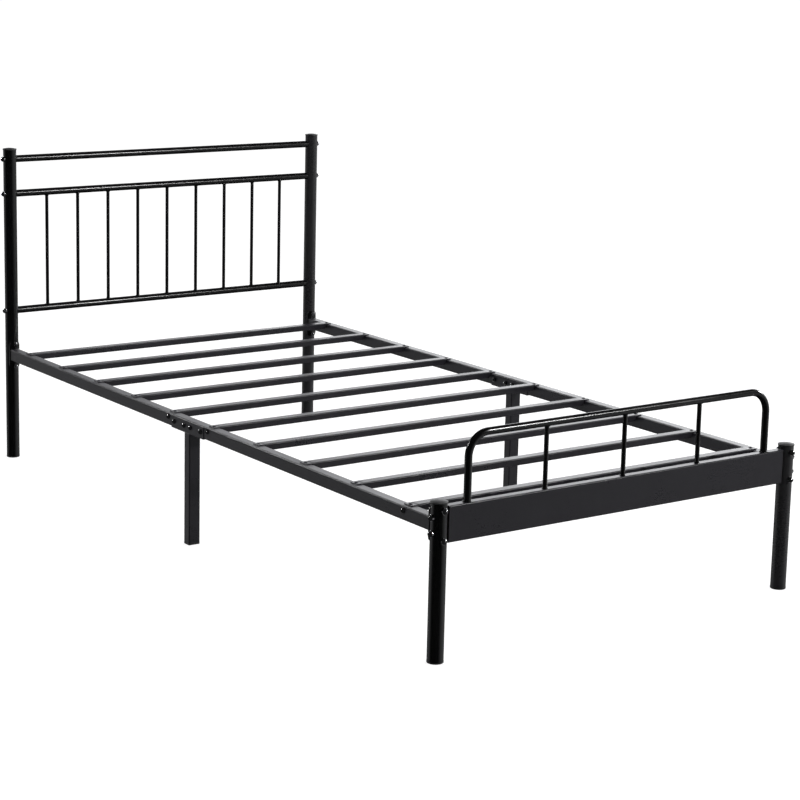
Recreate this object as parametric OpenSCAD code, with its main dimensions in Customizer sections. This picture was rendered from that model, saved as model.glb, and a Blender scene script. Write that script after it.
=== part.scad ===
// Knock-down steel bed frame for a single mattress.
// Round corner posts carry a spindle headboard and an arched footboard. Two
// side rails, each in two halves joined over a centre leg, carry ten slats.
// Head end is +Y, foot end is -Y, left is -X as seen from the foot end.

/* [Overall] */
// Distance between the left and right post centres
post_span = 965; // [850:5:1900]
// Distance between the head and foot post centres
post_length = 1965; // [1900:5:2150]
// Height of the headboard posts over their caps
head_h = 851; // [780:1:1200]
// Height of the footboard posts over their caps
foot_h = 339; // [338:1:600]

/* [Posts] */
// Outer diameter of the corner posts
post_d = 35; // [32:0.5:42]
// Wall of the corner posts
post_wall = 1.5; // [1.2:0.1:2.5]
// How much wider than the posts their caps are
cap_over = 2; // [1:0.5:4]

/* [Headboard] */
// Outer diameter of the three headboard rails
head_rail_d = 19; // [16:0.5:22]
// Drop from the top of the posts to the top rail's centre line
top_rail_drop = 30; // [27:1:60]
// Drop from the top of the posts to the upper rail's centre line
upper_rail_drop = 123.5; // [85:0.5:200]
// Height of the lower rail's centre line
lower_rail_z = 408.5; // [360:0.5:500]
// Diameter of the headboard spindles
spindle_d = 9; // [7:0.5:12]
// Number of headboard spindles
spindle_count = 9; // [5:1:13]
// Distance from a post centre to the nearest headboard spindle
spindle_inset = 108.5; // [60:0.5:150]

/* [Side rails] */
// Width of a side rail
rail_w = 25; // [22:1:30]
// Height of a side rail
rail_h = 30; // [28:1:40]
// Height of the side rail's top face above the floor
rail_top = 303.5; // [297:0.5:307]
// Height of the curved saddle plate on each rail end
saddle_h = 76; // [72:1:80]
// Distance between the two bolts of a saddle plate
saddle_bolt_pitch = 62; // [56:1:64]

/* [Centre joint] */
// Length of the channel that joins two rail halves
joint_l = 150; // [140:5:155]
// Distance from the joint to its inner bolts
joint_bolt_in = 15; // [12:1:20]
// Distance from the joint to its outer bolts
joint_bolt_out = 62; // [50:1:63]
// Width of a centre leg, across the side rail
leg_w = 30; // [26:1:32]
// Depth of a centre leg, along the side rail
leg_d = 25; // [20:1:30]

/* [Slats] */
// Distance between slat centres
slat_pitch = 196.5; // [150:0.5:198]
// Distance from the centre joint to the first slat centre
first_slat = 92; // [85:1:96]
// Width of a slat
slat_w = 25; // [20:1:30]
// Height of a slat
slat_h = 16; // [12:1:20]

/* [Footboard] */
// Height of the footboard panel
panel_h = 77; // [70:1:86]
// Thickness of the footboard panel
panel_t = 20.5; // [16:0.5:25]
// Height of the panel's centre line
panel_z = 288; // [284:0.5:289]
// Outer diameter of the arched tube
arch_d = 16; // [14:0.5:19]
// Distance from a post centre to the nearest leg of the arch
arch_inset = 70; // [50:0.5:100]
// Height of the arch's top centre line
arch_z = 466.5; // [430:0.5:560]
// Bend radius of the arch's centre line
arch_bend = 48; // [40:1:80]
// Diameter of the footboard spindles
foot_spindle_d = 10; // [8:0.5:12]
// Distance between footboard spindles
foot_spindle_pitch = 212; // [120:1:240]

/* [Hidden] */

$fn = 64;
eps = 0.01;
steel_black = "#1c1c1e";
plastic_black = "#2a2a2c";
hardware_black = "#303033";

post_r = post_d / 2;
cap_d = post_d + cap_over;
top_rail_z = head_h - top_rail_drop;
upper_rail_z = head_h - upper_rail_drop;
side_x = post_span / 2;
end_y = post_length / 2;

// Caps and glides
cap_lip = 2.5;
cap_dome = 2.5;
cap_edge = 0.6;
plug_l = 18;
plug_wall = 2;
glide_over = 0.6;
glide_floor = 4;
glide_edge = 0.8;

// Bolts: button heads with a hexagon socket, and their domed nuts
bolt_d = 6;
hole_d = 6.6;
thread_d = 6.2;
head_d = 13;
head_t = 5.5;
washer_d = 14;
washer_t = 3;
pin_head_d = 10;
pin_head_t = 1.8;
socket_af = 4;
socket_deep = 2.4;
nut_af = 10;
nut_t = 5;
nut_dome_d = 9.2;
nut_dome_h = 3;
bolt_short = 1;

// Tubes
thin_wall = 1.2;
rail_wall = 1.5;
rail_round = 2.5;
rail_mid = rail_top - rail_h / 2;
saddle_t = 2.5;
saddle_r = 26;
saddle_back = saddle_r - post_r - saddle_t;
saddle_w = 30;
saddle_round = 13;
cope_over = 2;
joint_gap = 0.5;
joint_t = 1.5;
channel_lip = 2;
insert_l = 20;
insert_blind = 4;

// Slats: a pressed tab at each end lies on the rail and a pin locates it
slats_per_half = 5;
tab_t = 2;
pin_tail = 2;
tab_l = 14;
slat_round = 2.5;
slat_rise = 2.5;
press_l = 6;
slat_top = rail_top + slat_rise;
slat_end = side_x - rail_w / 2;
side_bolt_drop = 11.5;
side_bolt_z = slat_top - side_bolt_drop;
pin_x = slat_end + tab_l / 2;

// Footboard
panel_round = 3;
panel_clear = 1;
panel_top = panel_z + panel_h / 2;
panel_bolt_pitch = 33;
end_plate_t = 3;
boss_d = 12;
boss_l = 8;
arch_x = side_x - arch_inset;

slat_ys = [for (half = [1, -1], i = [0 : slats_per_half - 1])
    half > 0 ? first_slat + (slats_per_half - 1 - i) * slat_pitch
             : -first_slat - i * slat_pitch];
// Slats whose ends are also bolted from outside: those beside the joint and
// the last one at the foot end
side_bolted = [slats_per_half - 1, slats_per_half, 2 * slats_per_half - 1];
joint_bolt_ys = [-joint_bolt_out, -joint_bolt_in, joint_bolt_in, joint_bolt_out];
head_rail_zs = [top_rail_z, upper_rail_z, lower_rail_z];
saddle_bolt_zs = [rail_mid - saddle_bolt_pitch / 2, rail_mid + saddle_bolt_pitch / 2];
panel_bolt_zs = [panel_z - panel_bolt_pitch / 2, panel_z + panel_bolt_pitch / 2];

// ---- Shared shapes ----

// Rectangle with round corners, centred
module round_rect(w, h, r) {
    square([w - 2 * r, h], center = true);
    square([w, h - 2 * r], center = true);
    for (sx = [-1, 1], sy = [-1, 1])
        translate([sx * (w / 2 - r), sy * (h / 2 - r)]) circle(r);
}

// Hollow section with round corners, centred
module box_section(w, h, r, wall) {
    difference() {
        round_rect(w, h, r);
        round_rect(w - 2 * wall, h - 2 * wall, r - wall / 2);
    }
}

// Round tube standing on z = 0
module round_tube(d, wall, l) {
    difference() {
        cylinder(d = d, h = l);
        translate([0, 0, -1]) cylinder(d = d - 2 * wall, h = l + 2);
    }
}

// Straight bar along X, centred
module bar_x(d, l) rotate([0, 90, 0]) cylinder(d = d, h = l, center = true);

// Straight bar along Y, centred
module bar_y(d, l) rotate([90, 0, 0]) cylinder(d = d, h = l, center = true);

// Low dome of height h on a disc of radius r, standing on z = 0
module dome(r, h) {
    ball = (r * r + h * h) / (2 * h);
    rotate_extrude()
        intersection() {
            translate([0, h - ball]) circle(ball, $fn = 180);
            square([r, h]);
        }
}

// Bolt with its shank towards -Z and its head standing on z = 0
module bolt(l) {
    difference() {
        dome(head_d / 2, head_t);
        translate([0, 0, head_t - socket_deep])
            cylinder(d = socket_af / cos(30), h = socket_deep + 1, $fn = 6);
    }
    translate([0, 0, -l]) cylinder(d = bolt_d, h = l + eps);
}

// Bolt across a round post on a curved washer. The post's axis is the X axis,
// the head points towards +Z and the tip lies at z = -reach.
module post_bolt(reach) {
    translate([0, 0, post_r + washer_t]) bolt(post_r + washer_t + reach);
    difference() {
        cylinder(d = washer_d, h = post_r + washer_t + eps);
        bar_x(post_d, 2 * washer_d);
    }
}

// Domed nut standing on z = 0, open underneath
module cap_nut() {
    difference() {
        union() {
            cylinder(d = nut_af / cos(30), h = nut_t, $fn = 6);
            translate([0, 0, nut_t - eps]) dome(nut_dome_d / 2, nut_dome_h);
        }
        translate([0, 0, -1]) cylinder(d = thread_d, h = nut_t + 1);
    }
}

// Runs its children once at each rail side, with the outside towards -X
module each_side() {
    for (m = [0, 1]) mirror([m, 0, 0]) children();
}

// Runs its children once at each end, with the outside towards -Y
module each_end() {
    for (m = [0, 1]) mirror([0, m, 0]) children();
}

// ---- Posts ----

module post(h, zs) {
    difference() {
        translate([0, 0, glide_floor])
            round_tube(post_d, post_wall, h - cap_lip - cap_dome - glide_floor);
        for (z = zs) translate([0, 0, z]) bar_x(hole_d, post_d + 2);
        for (z = saddle_bolt_zs) translate([0, 0, z]) bar_y(hole_d, post_d + 2);
    }
}

module head_post(side)
    color(steel_black) translate([side * side_x, end_y, 0]) post(head_h, head_rail_zs);

module foot_post(side)
    color(steel_black) translate([side * side_x, -end_y, 0]) post(foot_h, panel_bolt_zs);

// Plug-in cap with a thin lip and a low dome
module cap(h) {
    seat = h - cap_lip - cap_dome;
    translate([0, 0, seat]) cylinder(d = cap_d, h = cap_lip);
    translate([0, 0, seat + cap_lip - eps]) dome(cap_d / 2 - cap_edge, cap_dome + eps);
    difference() {
        translate([0, 0, seat - plug_l])
            cylinder(d = post_d - 2 * post_wall, h = plug_l + eps);
        translate([0, 0, seat - plug_l - 1])
            cylinder(d = post_d - 2 * post_wall - 2 * plug_wall, h = plug_l);
    }
}

module head_cap(side) color(plastic_black) translate([side * side_x, end_y, 0]) cap(head_h);

module foot_cap(side) color(plastic_black) translate([side * side_x, -end_y, 0]) cap(foot_h);

// Floor glide: a chamfered pad under the post with a hollow plug up the bore
module glide() {
    pad_d = post_d + glide_over;
    cylinder(d1 = pad_d - 2 * glide_edge, d2 = pad_d, h = glide_edge);
    translate([0, 0, glide_edge]) cylinder(d = pad_d, h = glide_floor - glide_edge);
    translate([0, 0, glide_floor - eps])
        round_tube(post_d - 2 * post_wall, plug_wall, plug_l + eps);
}

module head_glide(side) color(plastic_black) translate([side * side_x, end_y, 0]) glide();

module foot_glide(side) color(plastic_black) translate([side * side_x, -end_y, 0]) glide();

// ---- Headboard ----

// Tube across the headboard, coped to the round posts
module head_rail(z) {
    color(steel_black)
        difference() {
            translate([-side_x, end_y, z]) rotate([0, 90, 0])
                round_tube(head_rail_d, thin_wall, post_span);
            for (sx = [-1, 1])
                translate([sx * side_x, end_y, z - head_rail_d])
                    cylinder(d = post_d, h = 2 * head_rail_d);
        }
}

module headboard_spindles() {
    pitch = (post_span - 2 * spindle_inset) / (spindle_count - 1);
    color(steel_black)
        for (i = [0 : spindle_count - 1])
            difference() {
                translate([-side_x + spindle_inset + i * pitch, end_y, lower_rail_z])
                    cylinder(d = spindle_d, h = upper_rail_z - lower_rail_z);
                for (z = [lower_rail_z, upper_rail_z])
                    translate([0, end_y, z]) bar_x(head_rail_d, post_span);
            }
}

// Threaded plug in each end of a headboard rail
module headboard_rail_inserts() {
    color(hardware_black)
        each_side()
            for (z = head_rail_zs)
                difference() {
                    translate([-side_x, end_y, z]) rotate([0, 90, 0])
                        cylinder(d = head_rail_d - 2 * thin_wall, h = post_r + insert_l);
                    translate([-side_x, end_y, z - head_rail_d])
                        cylinder(d = post_d, h = 2 * head_rail_d);
                    translate([-side_x, end_y, z]) bar_x(thread_d, 2 * (post_r + insert_l) + 2);
                }
}

module headboard_bolts() {
    color(hardware_black)
        each_side()
            for (z = head_rail_zs)
                translate([-side_x, end_y, z]) rotate([0, -90, 0])
                    post_bolt(post_r + insert_l - insert_blind);
}

// ---- Side rails ----

// One rail half: "way" is +1 towards the head, -1 towards the foot
module side_rail(side, way) {
    color(steel_black)
        mirror([0, way < 0 ? 1 : 0, 0])
            difference() {
                translate([side * side_x, joint_gap, rail_mid]) rotate([-90, 0, 0])
                    linear_extrude(end_y - post_r + cope_over - joint_gap)
                        box_section(rail_w, rail_h, rail_round, rail_wall);
                translate([side * side_x, end_y + saddle_back, rail_mid - rail_h])
                    cylinder(r = saddle_r, h = 2 * rail_h);
                for (y = [joint_bolt_in, joint_bolt_out])
                    translate([side * side_x, y, rail_mid]) bar_x(hole_d, rail_w + 2);
                for (i = [0 : slats_per_half - 1])
                    translate([side * pin_x, first_slat + i * slat_pitch, rail_top - rail_wall - 1])
                        cylinder(d = hole_d, h = rail_wall + 2);
                translate([side * side_x, first_slat, side_bolt_z]) bar_x(hole_d, rail_w + 2);
                if (way < 0)
                    translate([side * side_x, first_slat + (slats_per_half - 1) * slat_pitch, side_bolt_z])
                        bar_x(hole_d, rail_w + 2);
            }
}

// Curved oblong plate welded to the rail end, bearing on the post
module saddle(side, way) {
    color(steel_black)
        mirror([0, way < 0 ? 1 : 0, 0])
            translate([side * side_x, end_y, rail_mid])
                difference() {
                    intersection() {
                        translate([0, saddle_back, -saddle_h / 2])
                            round_tube(2 * saddle_r, saddle_t, saddle_h);
                        rotate([90, 0, 0])
                            linear_extrude(saddle_r) round_rect(saddle_w, saddle_h, saddle_round);
                    }
                    for (d = [-1, 1])
                        translate([0, -saddle_r, d * saddle_bolt_pitch / 2]) bar_y(hole_d, saddle_r);
                }
}

module saddle_bolts() {
    color(hardware_black)
        each_side() each_end()
            for (z = saddle_bolt_zs)
                translate([-side_x, -end_y, z]) rotate([0, -90, 90])
                    post_bolt(post_r + saddle_t + nut_t - bolt_short);
}

module saddle_nuts() {
    color(hardware_black)
        each_side() each_end()
            for (z = saddle_bolt_zs)
                translate([-side_x, -end_y + post_r + saddle_t, z]) rotate([-90, 0, 0])
                    cap_nut();
}

// ---- Centre joints and legs ----

// Channel that wraps the sides and underside of both rail halves
module joint_channel(side) {
    outer_w = rail_w + 2 * joint_t;
    cheek = rail_h - channel_lip;
    color(steel_black)
        translate([side * side_x, 0, rail_top - rail_h - joint_t])
            difference() {
                translate([-outer_w / 2, -joint_l / 2, 0]) cube([outer_w, joint_l, cheek + joint_t]);
                translate([-rail_w / 2, -joint_l / 2 - 1, joint_t])
                    cube([rail_w, joint_l + 2, cheek + 1]);
                for (y = joint_bolt_ys)
                    translate([0, y, joint_t + rail_h / 2]) bar_x(hole_d, outer_w + 2);
            }
}

module joint_bolts() {
    color(hardware_black)
        each_side()
            for (y = joint_bolt_ys)
                translate([-side_x - rail_w / 2 - joint_t, y, rail_mid]) rotate([0, -90, 0])
                    bolt(rail_w + 2 * joint_t + nut_t - bolt_short);
}

module joint_nuts() {
    color(hardware_black)
        each_side()
            for (y = joint_bolt_ys)
                translate([-side_x + rail_w / 2 + joint_t, y, rail_mid]) rotate([0, 90, 0])
                    cap_nut();
}

module centre_leg(side) {
    color(steel_black)
        translate([side * side_x, 0, glide_floor])
            linear_extrude(rail_top - rail_h - joint_t - glide_floor)
                box_section(leg_w, leg_d, rail_round, rail_wall);
}

module centre_glide(side) {
    plug_w = leg_w - 2 * rail_wall;
    plug_d = leg_d - 2 * rail_wall;
    color(plastic_black)
        translate([side * side_x, 0, 0]) {
            linear_extrude(glide_floor) round_rect(leg_w, leg_d, rail_round);
            translate([0, 0, glide_floor - eps])
                linear_extrude(plug_l) box_section(plug_w, plug_d, rail_round - rail_wall / 2, plug_wall);
        }
}

// ---- Slats ----

// Box-section slat whose ends are pressed flat into tabs
module slat(i) {
    body_l = 2 * (slat_end - press_l);
    low = slat_top - slat_h;
    color(steel_black)
        translate([0, slat_ys[i], 0]) {
            translate([-body_l / 2, 0, slat_top - slat_h / 2]) rotate([90, 0, 90])
                linear_extrude(body_l)
                    box_section(slat_w, slat_h, slat_round, thin_wall);
            each_side() {
                difference() {
                    intersection() {
                        translate([-slat_end, 0, slat_top - slat_h / 2]) rotate([90, 0, 90])
                            linear_extrude(press_l + eps)
                                round_rect(slat_w, slat_h, slat_round);
                        translate([0, slat_w, 0]) rotate([90, 0, 0])
                            linear_extrude(2 * slat_w)
                                polygon([
                                    [-slat_end, rail_top], [-slat_end, rail_top + tab_t],
                                    [-body_l / 2, slat_top], [-body_l / 2 + eps, slat_top],
                                    [-body_l / 2 + eps, low], [-body_l / 2, low]
                                ]);
                    }
                    if (len(search(i, side_bolted)) > 0)
                        translate([-slat_end, 0, side_bolt_z]) bar_x(thread_d, 4 * press_l);
                }
                difference() {
                    translate([-slat_end - tab_l, -slat_w / 2, rail_top])
                        cube([tab_l + eps, slat_w, tab_t]);
                    translate([-pin_x, 0, rail_top - 1]) cylinder(d = hole_d, h = tab_t + 2);
                }
            }
        }
}

// Button-headed pin riveted in each tab, through the rail's top wall
module slat_pins() {
    color(hardware_black)
        each_side()
            for (y = slat_ys)
                translate([-pin_x, y, rail_top + tab_t]) {
                    dome(pin_head_d / 2, pin_head_t);
                    translate([0, 0, -tab_t - rail_wall - pin_tail])
                        cylinder(d = bolt_d, h = tab_t + rail_wall + pin_tail + eps);
                }
}

// Bolts from the rails' outer faces into the ends of some slats
module slat_side_bolts() {
    color(hardware_black)
        each_side()
            for (i = side_bolted)
                translate([-side_x - rail_w / 2, slat_ys[i], side_bolt_z]) rotate([0, -90, 0])
                    bolt(rail_w + 2 * press_l);
}

// ---- Footboard ----

module footboard_panel() {
    l = 2 * (side_x - post_r - panel_clear);
    color(steel_black)
        translate([-l / 2, -end_y, panel_z]) rotate([90, 0, 90])
            linear_extrude(l) box_section(panel_t, panel_h, panel_round, rail_wall);
}

// Plate with two threaded bosses inside each end of the panel
module footboard_end_plates() {
    plate_w = panel_t - 2 * rail_wall;
    plate_h = panel_h - 2 * rail_wall;
    depth = end_plate_t + boss_l;
    color(hardware_black)
        each_side()
            translate([-side_x + post_r + panel_clear, -end_y, panel_z])
                difference() {
                    union() {
                        rotate([90, 0, 90]) linear_extrude(end_plate_t)
                            round_rect(plate_w, plate_h, panel_round - rail_wall / 2);
                        for (d = [-1, 1])
                            translate([end_plate_t - eps, 0, d * panel_bolt_pitch / 2]) rotate([0, 90, 0])
                                cylinder(d = boss_d, h = boss_l + eps);
                    }
                    for (d = [-1, 1])
                        translate([0, 0, d * panel_bolt_pitch / 2]) bar_x(thread_d, 2 * depth + 2);
                }
}

module footboard_bolts() {
    color(hardware_black)
        each_side()
            for (z = panel_bolt_zs)
                translate([-side_x, -end_y, z]) rotate([0, -90, 0])
                    post_bolt(post_r + panel_clear + end_plate_t + boss_l - bolt_short);
}

// Path of the arch: two legs, two bends and the top run, as a solid of diameter d
module arch_solid(d, over = 0) {
    for (sx = [-1, 1])
        translate([sx * arch_x, -end_y, panel_top - over])
            cylinder(d = d, h = arch_z - arch_bend - panel_top + over);
    for (m = [0, 1])
        mirror([m, 0, 0])
            translate([arch_x - arch_bend, -end_y, arch_z - arch_bend]) rotate([90, 0, 0])
                rotate_extrude(angle = 90) translate([arch_bend, 0]) circle(d = d);
    translate([0, -end_y, arch_z]) bar_x(d, 2 * (arch_x - arch_bend));
}

module footboard_arch() {
    color(steel_black)
        difference() {
            arch_solid(arch_d);
            arch_solid(arch_d - 2 * thin_wall, 1);
        }
}

module footboard_spindles() {
    color(steel_black)
        for (i = [-1, 0, 1])
            difference() {
                translate([i * foot_spindle_pitch, -end_y, panel_top])
                    cylinder(d = foot_spindle_d, h = arch_z - panel_top);
                translate([i * foot_spindle_pitch, -end_y, arch_z]) bar_x(arch_d, 4 * foot_spindle_d);
            }
}

head_post(-1);  // head_post_left
head_post(1);  // head_post_right
foot_post(-1);  // foot_post_left
foot_post(1);  // foot_post_right
head_cap(-1);  // head_cap_left
head_cap(1);  // head_cap_right
foot_cap(-1);  // foot_cap_left
foot_cap(1);  // foot_cap_right
head_glide(-1);  // head_glide_left
head_glide(1);  // head_glide_right
foot_glide(-1);  // foot_glide_left
foot_glide(1);  // foot_glide_right
head_rail(top_rail_z);  // headboard_top_rail
head_rail(upper_rail_z);  // headboard_upper_rail
head_rail(lower_rail_z);  // headboard_lower_rail
headboard_spindles();
headboard_rail_inserts();
headboard_bolts();
side_rail(-1, 1);  // rail_left_head
side_rail(-1, -1);  // rail_left_foot
side_rail(1, 1);  // rail_right_head
side_rail(1, -1);  // rail_right_foot
saddle(-1, 1);  // saddle_left_head
saddle(-1, -1);  // saddle_left_foot
saddle(1, 1);  // saddle_right_head
saddle(1, -1);  // saddle_right_foot
saddle_bolts();
saddle_nuts();
joint_channel(-1);  // joint_channel_left
joint_channel(1);  // joint_channel_right
joint_bolts();
joint_nuts();
centre_leg(-1);  // centre_leg_left
centre_leg(1);  // centre_leg_right
centre_glide(-1);  // centre_glide_left
centre_glide(1);  // centre_glide_right
footboard_panel();
footboard_end_plates();
footboard_bolts();
footboard_arch();
footboard_spindles();
slat(0);  // slat_1
slat(1);  // slat_2
slat(2);  // slat_3
slat(3);  // slat_4
slat(4);  // slat_5
slat(5);  // slat_6
slat(6);  // slat_7
slat(7);  // slat_8
slat(8);  // slat_9
slat(9);  // slat_10
slat_pins();
slat_side_bolts();
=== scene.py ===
import math

import bmesh
import bpy
from mathutils import Matrix, Vector, noise


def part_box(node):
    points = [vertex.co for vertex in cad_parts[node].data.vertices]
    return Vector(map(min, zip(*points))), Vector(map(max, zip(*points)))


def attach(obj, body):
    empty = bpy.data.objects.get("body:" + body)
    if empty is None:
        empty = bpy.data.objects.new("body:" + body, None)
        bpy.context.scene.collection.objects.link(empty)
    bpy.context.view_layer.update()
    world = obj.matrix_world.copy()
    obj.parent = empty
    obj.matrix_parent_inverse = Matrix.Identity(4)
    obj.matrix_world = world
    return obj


# The metal bed frame: its CAD nodes with their finishes, the weld beads, a pale
# floor, studio light and the product view's camera.
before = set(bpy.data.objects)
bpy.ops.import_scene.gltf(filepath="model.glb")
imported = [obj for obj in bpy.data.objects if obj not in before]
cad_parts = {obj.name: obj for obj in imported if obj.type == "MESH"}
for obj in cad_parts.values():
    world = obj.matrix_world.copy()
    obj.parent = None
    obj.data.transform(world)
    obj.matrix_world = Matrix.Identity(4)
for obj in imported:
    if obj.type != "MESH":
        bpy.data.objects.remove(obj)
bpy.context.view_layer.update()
MM = 0.001

# ---------------------------------------------------------------- camera
# Pose and lens of the product view, in metres and radians.
CAM_AT = Vector((-2.9909, -4.3404, 1.4786))
CAM_YAW, CAM_PITCH, CAM_ROLL = 0.60240, 0.19464, 0.01948
CAM_SENSOR = 36.0          # mm; it only sets the unit of the focal length
CAM_FOCAL = 2.71417        # focal length as a multiple of the frame's width
CAM_SHIFT = (0.05, -0.07)
CAM_CLIP = (0.05, 400.0)


def make_camera():
    sy, cy = math.sin(CAM_YAW), math.cos(CAM_YAW)
    sp, cp = math.sin(CAM_PITCH), math.cos(CAM_PITCH)
    sr, cr = math.sin(CAM_ROLL), math.cos(CAM_ROLL)
    look = Vector((sy * cp, cy * cp, -sp))
    right = Vector((cy, -sy, 0.0))
    up = Vector((sy * sp, cy * sp, cp))
    x, y = cr * right + sr * up, -sr * right + cr * up

    data = bpy.data.cameras.new("camera")
    data.sensor_width = CAM_SENSOR
    data.sensor_fit = "HORIZONTAL"
    data.lens = CAM_SENSOR * CAM_FOCAL
    data.shift_x, data.shift_y = CAM_SHIFT
    data.clip_start, data.clip_end = CAM_CLIP
    cam = bpy.data.objects.new("camera", data)
    bpy.context.scene.collection.objects.link(cam)
    place = Matrix((x, y, -look)).transposed().to_4x4()
    place.translation = CAM_AT
    cam.matrix_world = place
    bpy.context.scene.camera = cam


make_camera()

# ---------------------------------------------------------------- node helpers
MIX_A, MIX_B, MIX_OUT = 6, 7, 2    # the Mix node's colour sockets
NOISE_RANGE = (0.3, 0.7)           # where most of a noise texture's values lie
BEVEL_SAMPLES = 4


class Tree:
    """A node tree with short ways to add nodes and to combine their outputs."""

    def __init__(self, tree):
        self.tree = tree
        self.tree.nodes.clear()

    def add(self, kind, props=None, **inputs):
        """Adds a node. Inputs go by name (Base_Color) or by index (i0), and each
        takes a constant, a socket, or a node, whose first output is meant."""
        node = self.tree.nodes.new(kind)
        for key, value in (props or {}).items():
            setattr(node, key, value)
        for key, value in inputs.items():
            by_index = key[0] == "i" and key[1:].isdigit()
            self.put(node.inputs[int(key[1:]) if by_index else key.replace("_", " ")], value)
        return node

    def put(self, socket, value):
        if isinstance(value, bpy.types.Node):
            value = value.outputs[0]
        if isinstance(value, bpy.types.NodeSocket):
            self.tree.links.new(value, socket)
        else:
            socket.default_value = value

    def fold(self, operation, values):
        total = values[0]
        for value in values[1:]:
            total = self.add("ShaderNodeMath", {"operation": operation}, i0=total, i1=value)
        return total

    def plus(self, *values):
        return self.fold("ADD", values)

    def times(self, *values):
        return self.fold("MULTIPLY", values)

    def dot(self, a, b):
        node = self.add("ShaderNodeVectorMath", {"operation": "DOT_PRODUCT"}, i0=a, i1=b)
        return node.outputs["Value"]

    def span(self, value, start, end, lo, hi, kind="LINEAR"):
        """Takes start..end to lo..hi, and holds the ends beyond it."""
        return self.add("ShaderNodeMapRange", {"interpolation_type": kind},
                        i0=value, i1=start, i2=end, i3=lo, i4=hi)

    def ease(self, value, start, end, lo=0.0, hi=1.0):
        """The same with a smooth start and end."""
        return self.span(value, start, end, lo, hi, "SMOOTHSTEP")

    def vary(self, value, lo, hi):
        """Spreads a noise over lo..hi."""
        return self.span(value, *NOISE_RANGE, lo, hi)

    def mix(self, factor, a, b):
        node = self.add("ShaderNodeMix", {"data_type": "RGBA"}, i0=factor)
        self.put(node.inputs[MIX_A], a)
        self.put(node.inputs[MIX_B], b)
        return node.outputs[MIX_OUT]

    def point(self):
        return self.add("ShaderNodeTexCoord").outputs["Object"]

    def noise(self, at, scale, detail, rough):
        """Noise from 0 to 1; scale is in cycles per metre."""
        return self.add("ShaderNodeTexNoise", Vector=at, Scale=scale, Detail=detail,
                        Roughness=rough)

    def soft_normal(self, radius):
        """The surface's normal, rounded over its edges by radius."""
        return self.add("ShaderNodeBevel", {"samples": BEVEL_SAMPLES}, Radius=radius)

    def edges(self, soft, start, full):
        """From 0 on open surface to 1 on edges, where soft leans off the true
        normal: start and full are the cosines where it sets in and is complete."""
        true = self.add("ShaderNodeNewGeometry").outputs["Normal"]
        return self.ease(self.dot(soft, true), start, full)

    def bump(self, height, strength, distance, **base):
        return self.add("ShaderNodeBump", Strength=strength, Distance=distance,
                        Height=height, **base)

    def surface(self, colour, gloss, bump, **fixed):
        """Ends a material; fixed values are set on the shader's own sockets."""
        shader = self.add("ShaderNodeBsdfPrincipled", Base_Color=colour, Roughness=gloss,
                          Normal=bump, **fixed)
        self.add("ShaderNodeOutputMaterial", Surface=shader)


def new_material(name):
    material = bpy.data.materials.new(name)
    material.use_nodes = True
    return material, Tree(material.node_tree)


# ---------------------------------------------------------------- materials
def powder_coat(name, deep, light, rough, worn, shift=(0, 0, 0), ior=1.5):
    """Black powder coat: orange peel, uneven gloss, faint dust, rubbed edges.
    The colour drifts between deep and light, worn is how much the rubbed edges
    show, and shift moves the pattern, so that no two coats share one."""
    dusty, rubbed = (0.07, 0.07, 0.072, 1), (0.045, 0.045, 0.047, 1)
    material, t = new_material(name)
    at = t.add("ShaderNodeMapping", Vector=t.point(), Location=shift)
    along = t.add("ShaderNodeMapping", Vector=at, Scale=(9.0, 60.0, 60.0))
    cloud = t.noise(at, scale=6.0, detail=4.0, rough=0.6)
    fine = t.noise(at, scale=420.0, detail=3.0, rough=0.55)
    peel = t.noise(at, scale=1500.0, detail=2.0, rough=0.5)
    scuff = t.noise(along, scale=4.0, detail=5.0, rough=0.7)
    dust = t.ease(t.noise(at, scale=900.0, detail=1.0, rough=0.4), 0.70, 0.78)
    soft = t.soft_normal(1.2 * MM)
    edge = t.edges(soft, start=0.995, full=0.90)
    rub = t.times(edge, t.span(cloud, 0.42, 0.62, 0.1, 0.7))

    colour = t.mix(t.vary(cloud, 0.0, 1.0), deep, light)
    colour = t.mix(t.times(dust, 0.15), colour, dusty)
    colour = t.mix(t.times(rub, worn), colour, rubbed)
    gloss = t.plus(t.vary(cloud, rough - 0.03, rough + 0.03),
                   t.span(scuff, 0.5, 0.75, 0.0, 0.05),
                   t.vary(fine, -0.015, 0.015))
    height = t.plus(t.times(peel, 0.6), t.times(fine, 0.4))
    bump = t.bump(height, strength=0.12, distance=0.04 * MM, Normal=soft)
    t.surface(colour, gloss, bump, IOR=ior)
    return material


def moulded_plastic(name):
    """Injection-moulded black plastic with a fine spark-eroded grain."""
    material, t = new_material(name)
    at = t.point()
    cloud = t.noise(at, scale=25.0, detail=3.0, rough=0.6)
    grain = t.noise(at, scale=2200.0, detail=2.0, rough=0.6)
    pits = t.add("ShaderNodeTexVoronoi", {"feature": "SMOOTH_F1"},
                 Vector=at, Scale=1300.0).outputs["Distance"]
    colour = t.mix(t.vary(cloud, 0.0, 1.0),
                   (0.016, 0.016, 0.017, 1), (0.030, 0.030, 0.031, 1))
    gloss = t.plus(t.vary(cloud, 0.42, 0.52), t.vary(grain, -0.04, 0.04))
    height = t.plus(grain, t.times(pits, 0.5))
    t.surface(colour, gloss, t.bump(height, strength=0.35, distance=0.06 * MM), IOR=1.5)
    return material


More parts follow.
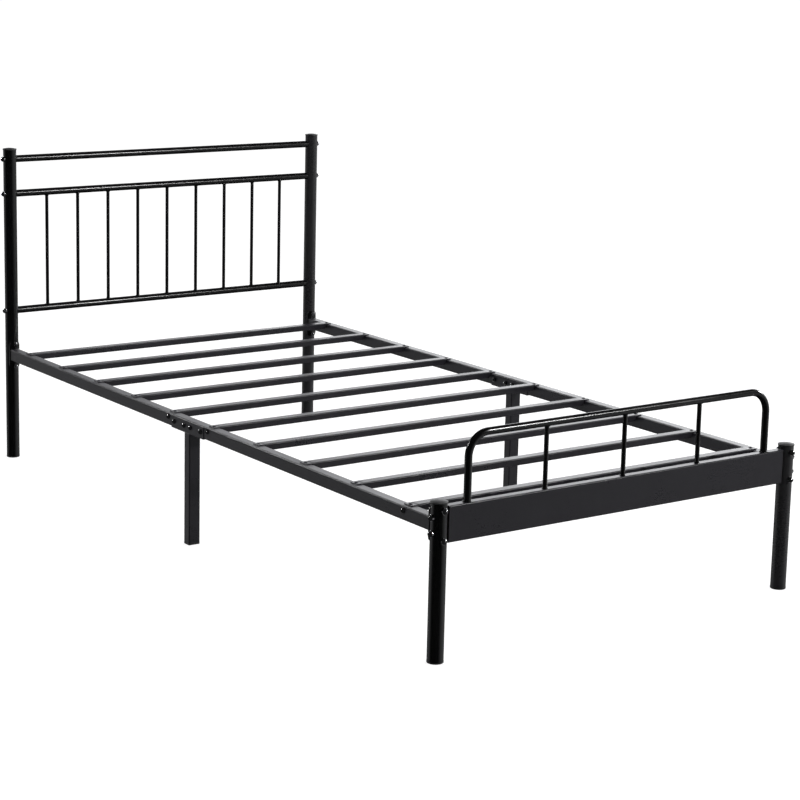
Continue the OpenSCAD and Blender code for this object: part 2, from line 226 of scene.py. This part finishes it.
def black_hardware(name):
    """Dark-plated bolts and nuts: an uneven gloss and brighter worn edges."""
    worn = (0.50, 0.50, 0.51, 1)
    material, t = new_material(name)
    at = t.point()
    cloud = t.noise(at, scale=160.0, detail=3.0, rough=0.6)
    fine = t.noise(at, scale=2600.0, detail=2.0, rough=0.5)
    edge = t.edges(t.soft_normal(0.5 * MM), start=0.99, full=0.88)
    colour = t.mix(t.span(cloud, 0.35, 0.65, 0.0, 1.0),
                   (0.30, 0.30, 0.308, 1), (0.40, 0.40, 0.41, 1))
    colour = t.mix(t.times(edge, 0.4), colour, worn)
    bump = t.bump(fine, strength=0.05, distance=0.02 * MM)
    t.surface(colour, t.vary(cloud, 0.10, 0.15), bump, Metallic=1.0)
    return material


def zinc_plate(name):
    """Bright zinc with a faint spangle."""
    material, t = new_material(name)
    at = t.point()
    cloud = t.noise(at, scale=90.0, detail=4.0, rough=0.6)
    cell = t.add("ShaderNodeTexVoronoi", Vector=at, Scale=260.0).outputs["Color"]
    tone = t.times(t.add("ShaderNodeSeparateColor", Color=cell), 0.5)
    colour = t.mix(tone, (0.46, 0.465, 0.47, 1), (0.58, 0.585, 0.59, 1))
    bump = t.bump(cloud, strength=0.2, distance=0.03 * MM)
    t.surface(colour, t.vary(cloud, 0.28, 0.42), bump, Metallic=1.0)
    return material


POST = powder_coat("powder_posts", (0.0022, 0.0022, 0.0024, 1), (0.0038, 0.0038, 0.0042, 1),
                   rough=0.19, worn=0.25)
# A lighter copy of the post coat for the right-hand posts: painted light, the extra light
# they catch in this view, not a finish of their own.
POST_RIGHT_PAINTED_LIGHT = powder_coat("powder_posts_right_painted_light",
                         (0.0180, 0.0176, 0.0192, 1), (0.0225, 0.0220, 0.0238, 1),
                         rough=0.28, worn=0.22, shift=(2.3, 0.4, 3.7))
TUBE = powder_coat("powder_tubes", (0.0022, 0.0022, 0.0024, 1), (0.0040, 0.0040, 0.0043, 1),
                   rough=0.19, worn=0.25, shift=(3.1, 0.7, 1.3))
FLAT = powder_coat("powder_flats", (0.0156, 0.0147, 0.0188, 1), (0.0194, 0.0184, 0.0230, 1),
                   rough=0.30, worn=0.20, shift=(1.7, 2.9, 0.4), ior=1.42)
WELD = powder_coat("powder_welds", (0.0030, 0.0030, 0.0033, 1), (0.0060, 0.0060, 0.0064, 1),
                   rough=0.22, worn=0.30, shift=(5.3, 1.1, 2.2))
PLASTIC = moulded_plastic("cap_plastic")
HARDWARE = black_hardware("black_hardware")
ZINC = zinc_plate("zinc_plate")


def material_for(name):
    if "_cap_" in name or "glide" in name:
        return PLASTIC
    if name in ("headboard_rail_inserts", "footboard_end_plates"):
        return ZINC
    if name.endswith(("bolts", "nuts")):
        return HARDWARE
    # The right-hand posts get the lighter copy of the post coat: painted light.
    if name.endswith("post_right"):
        return POST_RIGHT_PAINTED_LIGHT
    if "post" in name or name.startswith("saddle"):
        return POST
    if name.startswith(("headboard", "footboard_arch", "footboard_spindles")):
        return TUBE
    return FLAT


for node_name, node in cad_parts.items():
    node.data.materials.clear()
    node.data.materials.append(material_for(node_name))

# ---------------------------------------------------------------- weld beads
BEAD_SIDES = 10
OFF_PATH = Vector((0.31, 0.22, 0.92))  # a direction that no path runs along
BEAD_SEED_STEP = 7.3       # moves the noise on from one bead to the next
RIPPLE, RIPPLE_STEP = 0.10, 2.4        # share of the radius; radians per point
UNEVEN, UNEVEN_SCALE = 0.22, 420.0     # share of the radius; cycles per metre
TAPER_END, TAPER_POINTS = 0.25, 3.0    # an open bead's ends: share, and length


def bead_radius(radius, i, at, seed):
    """The radius at point i of a path: even ripples, and noise on top of them."""
    ripple = RIPPLE * math.sin(RIPPLE_STEP * i)
    uneven = UNEVEN * noise.noise(UNEVEN_SCALE * at + Vector((seed, 0, 0)))
    return radius * (1.0 + ripple + uneven)


def bead(bm, path, radius, seed, closed):
    """Sweeps a rippled round bead along a path of points."""
    last = len(path) - 1
    turns = [2 * math.pi * k / BEAD_SIDES for k in range(BEAD_SIDES)]
    rings = []
    for i, at in enumerate(path):
        before = path[i - 1] if closed or i > 0 else at
        after = path[(i + 1) % len(path)] if closed or i < last else at
        tangent = (after - before).normalized()
        side = (OFF_PATH - OFF_PATH.dot(tangent) * tangent).normalized()
        other = tangent.cross(side)
        r = bead_radius(radius, i, at, seed)
        if not closed:
            r *= min(1.0, TAPER_END + (1.0 - TAPER_END) * min(i, last - i) / TAPER_POINTS)
        rings.append([bm.verts.new(at + r * (math.cos(a) * side + math.sin(a) * other))
                      for a in turns])
    following = rings[1:] + rings[:1] if closed else rings[1:]
    for ring, after in zip(rings, following):
        for k in range(BEAD_SIDES):
            j = (k + 1) % BEAD_SIDES
            bm.faces.new((ring[k], ring[j], after[j], after[k]))
    if not closed:
        bm.faces.new(rings[0][::-1])
        bm.faces.new(rings[-1])


def weld_piece(name, beads, closed=True):
    """One piece that holds several beads, each a path and a radius."""
    bm = bmesh.new()
    for i, (path, radius) in enumerate(beads):
        bead(bm, path, radius, BEAD_SEED_STEP * i, closed)
    bmesh.ops.recalc_face_normals(bm, faces=bm.faces)
    mesh = bpy.data.meshes.new(name)
    bm.to_mesh(mesh)
    bm.free()
    for face in mesh.polygons:
        face.use_smooth = True
    mesh.materials.append(WELD)
    obj = bpy.data.objects.new(name, mesh)
    bpy.context.scene.collection.objects.link(obj)
    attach(obj, "root")


def ring_path(x, y, z, r, steps):
    """A level circle."""
    turns = [2 * math.pi * i / steps for i in range(steps)]
    return [Vector((x + r * math.cos(a), y + r * math.sin(a), z)) for a in turns]


def rod_path(x, y, z, r, rail_r, up, steps=28):
    """Where an upright rod of radius r meets a round rail along X. The rail's
    axis is at y, z, and up is 1 for a rod above the rail, -1 below it."""
    path = []
    for i in range(steps):
        a = 2 * math.pi * i / steps
        dy = r * math.sin(a)
        dz = up * math.sqrt(rail_r ** 2 - dy ** 2)
        path.append(Vector((x + r * math.cos(a), y + dy, z + dz)))
    return path


def line_path(x0, x1, y, z, count):
    """A straight line along X."""
    return [Vector((x0 + (x1 - x0) * i / (count - 1), y, z)) for i in range(count)]


def rounded_outline(half_w, half_h, r):
    """The corner points of a rounded rectangle, four to a corner."""
    points = []
    for sx, sz, start in ((1, 1, 0), (-1, 1, 90), (-1, -1, 180), (1, -1, 270)):
        for k in range(4):
            a = math.radians(start + 30 * k)
            points.append((sx * (half_w - r) + r * math.cos(a),
                           sz * (half_h - r) + r * math.sin(a)))
    return points


def spread(lo, hi, d, count):
    """The centres of count rods of diameter d, evenly set from lo to hi."""
    return [lo + d / 2 + i * (hi - lo - d) / (count - 1) for i in range(count)]


# A bead's centre line stands this far outside the two surfaces it joins.
OFF_ROD, OFF_RAIL = 0.3 * MM, 0.2 * MM
ROD_BEAD = 1.1 * MM


def rod_bead(x, y, z, rod_d, rail_d, up):
    """The bead round a rod where it meets a round rail."""
    return rod_path(x, y, z, rod_d / 2 + OFF_ROD, rail_d / 2 + OFF_RAIL, up), ROD_BEAD


# Headboard: both ends of every spindle
HEAD_SPINDLES = 9
lo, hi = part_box("headboard_spindles")
up_lo, up_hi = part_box("headboard_upper_rail")
dn_lo, dn_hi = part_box("headboard_lower_rail")
spindle_d, rail_d = hi.y - lo.y, up_hi.z - up_lo.z
head_y = (lo.y + hi.y) / 2
up_z, dn_z = (up_lo.z + up_hi.z) / 2, (dn_lo.z + dn_hi.z) / 2
beads = []
for x in spread(lo.x, hi.x, spindle_d, HEAD_SPINDLES):
    beads.append(rod_bead(x, head_y, up_z, spindle_d, rail_d, -1))
    beads.append(rod_bead(x, head_y, dn_z, spindle_d, rail_d, 1))
weld_piece("welds_headboard", beads)

# Footboard: the arch's feet, and both ends of every spindle
FOOT_SPINDLES = 3
ARCH_BEAD, FOOT_BEAD = 1.5 * MM, 1.3 * MM
OFF_ARCH, OFF_SPINDLE, OFF_PANEL = 0.5 * MM, 0.4 * MM, 0.4 * MM
p_lo, p_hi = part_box("footboard_panel")
a_lo, a_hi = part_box("footboard_arch")
s_lo, s_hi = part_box("footboard_spindles")
foot_y, panel_z = (p_lo.y + p_hi.y) / 2, p_hi.z + OFF_PANEL
arch_d, spindle_d = a_hi.y - a_lo.y, s_hi.y - s_lo.y
arch_z = a_hi.z - arch_d / 2
beads = []
for x in (a_lo.x + arch_d / 2, a_hi.x - arch_d / 2):
    ring = ring_path(x, foot_y, panel_z, arch_d / 2 + OFF_ARCH, steps=44)
    beads.append((ring, ARCH_BEAD))
for x in spread(s_lo.x, s_hi.x, spindle_d, FOOT_SPINDLES):
    ring = ring_path(x, foot_y, panel_z, spindle_d / 2 + OFF_SPINDLE, steps=32)
    beads.append((ring, FOOT_BEAD))
    beads.append(rod_bead(x, foot_y, arch_z, spindle_d, arch_d, -1))
weld_piece("welds_footboard", beads)

# Side rails to the curved saddle plates
PLATE_R = 26 * MM          # outer radius of the plates' curve
OFF_PLATE = 0.3 * MM
RAIL_CORNER = 2.5 * MM
RAIL_STEP = 2.2 * MM       # about the distance between two points of the bead
RAIL_BEAD = 1.4 * MM


def rail_end_path(side, end):
    """The outline of a rail's outer end, laid on the curve of its plate."""
    r_lo, r_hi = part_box(f"rail_{side}_{end}")
    s_lo, s_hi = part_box(f"saddle_{side}_{end}")
    post_lo, post_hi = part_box(f"{end}_post_{side}")
    inward = -1 if end == "head" else 1
    apex = s_lo.y if end == "head" else s_hi.y
    cx, cz = (post_lo.x + post_hi.x) / 2, (r_lo.z + r_hi.z) / 2
    cy = apex - inward * PLATE_R
    outline = rounded_outline((r_hi.x - r_lo.x) / 2, (r_hi.z - r_lo.z) / 2, RAIL_CORNER)
    path = []
    for (u, w), (u2, w2) in zip(outline, outline[1:] + outline[:1]):
        steps = max(1, int(math.hypot(u2 - u, w2 - w) / RAIL_STEP))
        for k in range(steps):
            x, z = u + (u2 - u) * k / steps, w + (w2 - w) * k / steps
            reach = math.sqrt(PLATE_R ** 2 - x ** 2) + OFF_PLATE
            path.append(Vector((cx + x, cy + inward * reach, cz + z)))
    return path


weld_piece("welds_rail_ends", [(rail_end_path(side, end), RAIL_BEAD)
                               for side in ("left", "right") for end in ("head", "foot")])

# Centre legs to the underside of the joint channels, along both faces
LEG_BEAD = 1.5 * MM
LEG_POINTS = 13
LEG_INSET = 3 * MM         # from the leg's corners to the bead's ends
OFF_LEG, UNDER_CHANNEL = 0.2 * MM, 0.4 * MM
beads = []
for side in ("left", "right"):
    l_lo, l_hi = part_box(f"centre_leg_{side}")
    x0, x1 = l_lo.x + LEG_INSET, l_hi.x - LEG_INSET
    for y in (l_lo.y - OFF_LEG, l_hi.y + OFF_LEG):
        beads.append((line_path(x0, x1, y, l_hi.z - UNDER_CHANNEL, LEG_POINTS), LEG_BEAD))
weld_piece("welds_centre_legs", beads, closed=False)

# ---------------------------------------------------------------- stage and light
FLOOR_HALF = 150.0         # m, so that no view sees its edge
FLOOR_NEAR, FLOOR_FAR = (1.5, 0.80), (6.0, 1.0)    # m from the origin, and glow
WHITE = (1, 1, 1, 1)


def make_floor():
    """Pale floor: bright to the camera, dimmer as a light source. Mirror-like
    rays pass through it to the studio's own lower half."""
    mesh = bpy.data.meshes.new("floor")
    s = FLOOR_HALF
    mesh.from_pydata([(-s, -s, 0), (s, -s, 0), (s, s, 0), (-s, s, 0)], [], [(0, 1, 2, 3)])
    obj = bpy.data.objects.new("floor", mesh)
    bpy.context.scene.collection.objects.link(obj)

    material, t = new_material("studio_floor")
    away = t.add("ShaderNodeVectorMath", {"operation": "LENGTH"}, i0=t.point())
    (near, near_glow), (far, far_glow) = FLOOR_NEAR, FLOOR_FAR
    level = t.ease(away.outputs["Value"], near, far, near_glow, far_glow)
    seen = t.add("ShaderNodeAddShader",
                 i0=t.add("ShaderNodeBsdfDiffuse", Color=(0.35, 0.35, 0.35, 1)),
                 i1=t.add("ShaderNodeEmission", Color=WHITE, Strength=level))
    dim = t.add("ShaderNodeBsdfDiffuse", Color=(0.60, 0.60, 0.60, 1))
    clear = t.add("ShaderNodeBsdfTransparent")
    ray = t.add("ShaderNodeLightPath").outputs
    solid = t.add("ShaderNodeMixShader", i0=ray["Is Camera Ray"], i1=dim, i2=seen)
    both = t.add("ShaderNodeMixShader", i0=ray["Is Glossy Ray"], i1=solid, i2=clear)
    t.add("ShaderNodeOutputMaterial", Surface=both)
    mesh.materials.append(material)


def make_world():
    """White to the camera. To every other ray it is a dark studio: a bright sweep
    behind the bed, and a dim panel at the right and at the left that lies below
    the horizon, where mirror-like rays look through the floor."""
    world = bpy.data.worlds.new("studio")
    world.use_nodes = True
    bpy.context.scene.world = world
    t = Tree(world.node_tree)
    direction = t.add("ShaderNodeTexCoord").outputs["Generated"]
    height = t.add("ShaderNodeSeparateXYZ", Vector=direction).outputs["Z"]

    def panel(aim, width, rise, fall, level):
        """Light from around aim. It sets in between the two cosines of width and
        between the two heights of rise, and goes out between those of fall."""
        return t.times(t.ease(t.dot(direction, aim), *width), t.ease(height, *rise),
                       t.ease(height, *fall, 1.0, 0.0), level)

    sweep = panel((0.88, 0.47, 0.0), width=(0.72, 0.95),
                  rise=(-0.02, 0.10), fall=(0.26, 0.42), level=3.6)
    right = panel((0.93, -0.37, 0.0), width=(0.40, 0.98),
                  rise=(-0.9, -0.6), fall=(-0.05, 0.05), level=0.46)
    left = panel((-0.55, 0.83, -0.1), width=(0.72, 0.98),
                 rise=(-0.6, -0.35), fall=(-0.08, 0.02), level=0.40)
    dark = 0.02
    level = t.plus(t.plus(sweep, right), t.plus(left, dark))
    room = t.add("ShaderNodeBackground", Color=(0.97, 0.98, 1.0, 1), Strength=level)
    white = t.add("ShaderNodeBackground", Color=WHITE, Strength=1.0)
    ray = t.add("ShaderNodeLightPath").outputs
    both = t.add("ShaderNodeMixShader", i0=ray["Is Camera Ray"], i1=room, i2=white)
    t.add("ShaderNodeOutputWorld", Surface=both)


def softbox(name, at, aim, size, power):
    """A square area light at one point, facing another; metres and watts."""
    data = bpy.data.lights.new(name, "AREA")
    data.shape = "SQUARE"
    data.size = size
    data.energy = power
    obj = bpy.data.objects.new(name, data)
    bpy.context.scene.collection.objects.link(obj)
    obj.location = at
    obj.rotation_mode = "QUATERNION"
    obj.rotation_quaternion = (Vector(aim) - Vector(at)).to_track_quat("-Z", "Y")
    return obj


make_floor()
make_world()
top = softbox("top_softbox", (0.2, 0.3, 4.2), (0, 0, 0), size=4.5, power=230)
top.visible_glossy = False
softbox("key_softbox", (2.7, -4.3, 2.7), (0, 0, 0.4), size=0.5, power=120)
# Two small bright lights for the highlights on the bolt heads and posts; they are
# kept out of the diffuse light.
back = softbox("back_kicker", (-3.5, 5.2, 2.9), (0, 0, 0.4), size=1.1, power=180)
side = softbox("side_kicker", (6.0, -1.4, 2.6), (0, -0.9, 0.3), size=1.2, power=260)
for kicker in (back, side):
    kicker.visible_diffuse = False

bpy.context.scene.view_settings.view_transform = "Standard"
bpy.context.scene.view_settings.look = "None"
